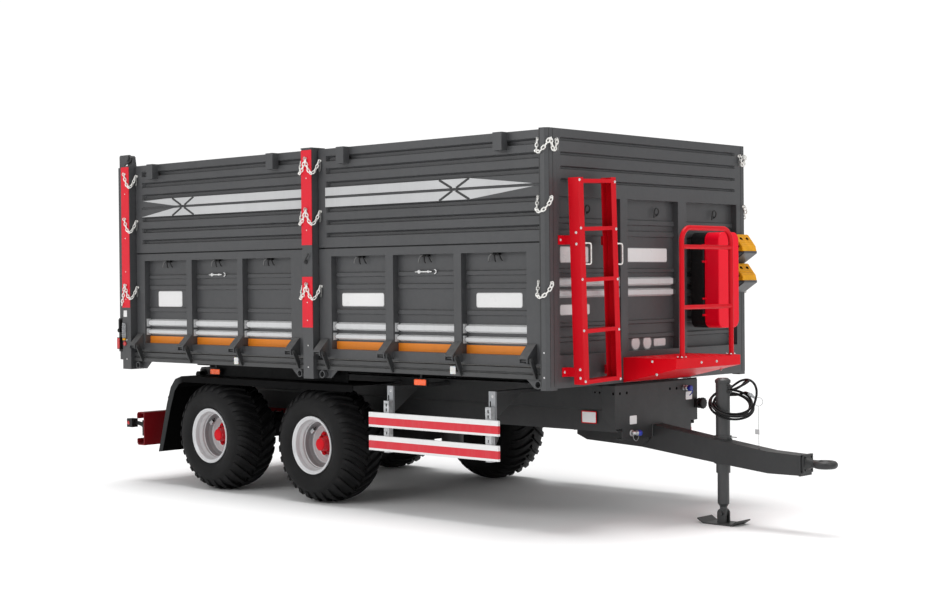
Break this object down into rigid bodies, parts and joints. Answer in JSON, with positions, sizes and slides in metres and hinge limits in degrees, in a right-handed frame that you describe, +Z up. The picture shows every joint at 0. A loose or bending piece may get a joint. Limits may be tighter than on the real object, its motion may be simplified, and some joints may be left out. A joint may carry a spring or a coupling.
{
  "type": "tandem-axle farm tipping trailer",
  "caption": "Tandem-axle farm trailer with a tipping box, two-tier drop sides, a top-hung tailgate, front ladder and platform, and a jack on its drawbar.",
  "frame": {"origin": "on the ground, at the centre of the trailer's length and width", "axes": "+X towards the towing eye, +Y to the trailer's left, +Z up"},
  "size_m": [6.16, 2.372, 2.73],
  "materials": {
    "chassis_paint": "satin dark grey paint",
    "panel_paint": "satin mid grey paint",
    "red_paint": "gloss red paint",
    "bumper_paint": "gloss dark red paint",
    "guard_paint": "white paint with a red band",
    "rim_paint": "silver paint, red hub",
    "black_plastic": "matt black",
    "yellow_plastic": "yellow moulded plastic",
    "lamp_orange": "orange lens",
    "lamp_red": "red lens in a black housing",
    "tyre_rubber": "black tyre rubber",
    "hose_rubber": "black hose rubber",
    "galvanised": "galvanised steel",
    "cylinder_steel": "ground steel"
  },
  "bodies": {
    "chassis": {"chassis_rails": "chassis_paint", "cross_members": "chassis_paint", "headstock": "chassis_paint", "drawbar": "chassis_paint", "towing_eye": "chassis_paint", "jack_housing": "chassis_paint", "axles": "chassis_paint", "leaf_springs": "chassis_paint", "spring_hangers": "chassis_paint", "mudguards": "black_plastic", "guard_rails": "guard_paint", "guard_posts": "galvanised", "outriggers": "panel_paint", "rear_bumper": "bumper_paint", "rear_lamps": "lamp_red", "tip_pins": "chassis_paint", "cylinder_cradle": "chassis_paint", "hose_coil": "hose_rubber", "hose_lead": "hose_rubber", "hose_coupler": "galvanised", "lanyard": "galvanised"},
    "bed": {"bed_floor": "panel_paint", "bed_frame": "chassis_paint", "body_lamps": "lamp_orange", "chock_holders": "panel_paint", "drop_hinges": "panel_paint", "extinguisher_base": "black_plastic", "floor_rails": "panel_paint", "front_bulkhead": "panel_paint", "guardrail": "red_paint", "ladder": "red_paint", "platform": "red_paint", "post_gussets": "panel_paint", "post_strips": "red_paint", "side_posts": "panel_paint", "wheel_chocks": "yellow_plastic"},
    "wheel_front_right": {"tyre_front_right": "tyre_rubber", "rim_front_right": "rim_paint"},
    "wheel_front_left": {"tyre_front_left": "tyre_rubber", "rim_front_left": "rim_paint"},
    "wheel_rear_right": {"tyre_rear_right": "tyre_rubber", "rim_rear_right": "rim_paint"},
    "wheel_rear_left": {"tyre_rear_left": "tyre_rubber", "rim_rear_left": "rim_paint"},
    "jack_leg": {"jack_leg": "chassis_paint"},
    "tailgate": {"tailgate": "panel_paint"},
    "extinguisher_lid": {"extinguisher_lid": "red_paint"},
    "cylinder_barrel": {"cylinder_barrel": "chassis_paint"},
    "cylinder_stage_1": {"cylinder_stage_1": "cylinder_steel"},
    "cylinder_stage_2": {"cylinder_stage_2": "cylinder_steel"},
    "cylinder_stage_3": {"cylinder_stage_3": "cylinder_steel"},
    "cylinder_stage_4": {"cylinder_stage_4": "cylinder_steel"},
    "upper_side_front_right": {"upper_side_front_right": "panel_paint"},
    "upper_side_front_left": {"upper_side_front_left": "panel_paint"},
    "upper_side_rear_right": {"upper_side_rear_right": "panel_paint"},
    "upper_side_rear_left": {"upper_side_rear_left": "panel_paint"},
    "lower_side_front_right": {"lower_side_front_right": "panel_paint"},
    "lower_side_front_left": {"lower_side_front_left": "panel_paint"},
    "lower_side_rear_right": {"lower_side_rear_right": "panel_paint"},
    "lower_side_rear_left": {"lower_side_rear_left": "panel_paint"}
  },
  "joints": [
    {"name": "wheel_front_right_spin", "type": "hinge", "parent": "chassis", "child": "wheel_front_right", "pos_m": [-0.68, -0.93, 0.435], "axis": [0, 1, 0], "continuous": true},
    {"name": "wheel_front_left_spin", "type": "hinge", "parent": "chassis", "child": "wheel_front_left", "pos_m": [-0.68, 0.93, 0.435], "axis": [0, 1, 0], "continuous": true},
    {"name": "wheel_rear_right_spin", "type": "hinge", "parent": "chassis", "child": "wheel_rear_right", "pos_m": [-1.9, -0.93, 0.435], "axis": [0, 1, 0], "continuous": true},
    {"name": "wheel_rear_left_spin", "type": "hinge", "parent": "chassis", "child": "wheel_rear_left", "pos_m": [-1.9, 0.93, 0.435], "axis": [0, 1, 0], "continuous": true},
    {"name": "jack_lift", "type": "slide", "parent": "chassis", "child": "jack_leg", "axis": [0, 0, 1], "range_m": [0, 0.235]},
    {"name": "bed_tip", "type": "hinge", "parent": "chassis", "child": "bed", "pos_m": [-2.79, 0, 0.865], "axis": [0, -1, 0], "range_deg": [0, 45]},
    {"name": "cylinder_swing", "type": "hinge", "parent": "chassis", "child": "cylinder_barrel", "pos_m": [-0.29, 0, 0.62], "axis": [0, -1, 0], "range_deg": [0, 22]},
    {"name": "cylinder_extend_1", "type": "slide", "parent": "cylinder_barrel", "child": "cylinder_stage_1", "axis": [0, 0, 1], "range_m": [0, 0.48]},
    {"name": "cylinder_extend_2", "type": "slide", "parent": "cylinder_stage_1", "child": "cylinder_stage_2", "axis": [0, 0, 1], "range_m": [0, 0.48]},
    {"name": "cylinder_extend_3", "type": "slide", "parent": "cylinder_stage_2", "child": "cylinder_stage_3", "axis": [0, 0, 1], "range_m": [0, 0.48]},
    {"name": "cylinder_extend_4", "type": "slide", "parent": "cylinder_stage_3", "child": "cylinder_stage_4", "axis": [0, 0, 1], "range_m": [0, 0.48]},
    {"name": "upper_side_front_right_swing", "type": "hinge", "parent": "bed", "child": "upper_side_front_right", "pos_m": [0.46, -1.044, 2.602], "axis": [-1, 0, 0], "range_deg": [0, 90]},
    {"name": "upper_side_front_left_swing", "type": "hinge", "parent": "bed", "child": "upper_side_front_left", "pos_m": [0.46, 1.044, 2.602], "axis": [1, 0, 0], "range_deg": [0, 90]},
    {"name": "upper_side_rear_right_swing", "type": "hinge", "parent": "bed", "child": "upper_side_rear_right", "pos_m": [-1.74, -1.044, 2.602], "axis": [-1, 0, 0], "range_deg": [0, 90]},
    {"name": "upper_side_rear_left_swing", "type": "hinge", "parent": "bed", "child": "upper_side_rear_left", "pos_m": [-1.74, 1.044, 2.602], "axis": [1, 0, 0], "range_deg": [0, 90]},
    {"name": "lower_side_front_right_drop", "type": "hinge", "parent": "bed", "child": "lower_side_front_right", "pos_m": [0.46, -1.166, 1.128], "axis": [1, 0, 0], "range_deg": [0, 180]},
    {"name": "lower_side_front_left_drop", "type": "hinge", "parent": "bed", "child": "lower_side_front_left", "pos_m": [0.46, 1.166, 1.128], "axis": [-1, 0, 0], "range_deg": [0, 180]},
    {"name": "lower_side_rear_right_drop", "type": "hinge", "parent": "bed", "child": "lower_side_rear_right", "pos_m": [-1.74, -1.166, 1.128], "axis": [1, 0, 0], "range_deg": [0, 180]},
    {"name": "lower_side_rear_left_drop", "type": "hinge", "parent": "bed", "child": "lower_side_rear_left", "pos_m": [-1.74, 1.166, 1.128], "axis": [-1, 0, 0], "range_deg": [0, 180]},
    {"name": "tailgate_swing", "type": "hinge", "parent": "bed", "child": "tailgate", "pos_m": [-2.956, 0, 2.698], "axis": [0, 1, 0], "range_deg": [0, 90]},
    {"name": "extinguisher_lid_swing", "type": "hinge", "parent": "bed", "child": "extinguisher_lid", "pos_m": [1.772, 0.434, 1.64], "axis": [0, 0, -1], "range_deg": [0, 110]}
  ],
  "couplings": [
    {"joint": "cylinder_swing", "follows": "bed_tip", "ratio": 0.4648},
    {"joint": "cylinder_extend_1", "follows": "bed_tip", "m_per_rad": 0.6061},
    {"joint": "cylinder_extend_2", "follows": "bed_tip", "m_per_rad": 0.6061},
    {"joint": "cylinder_extend_3", "follows": "bed_tip", "m_per_rad": 0.6061},
    {"joint": "cylinder_extend_4", "follows": "bed_tip", "m_per_rad": 0.6061}
  ]
}
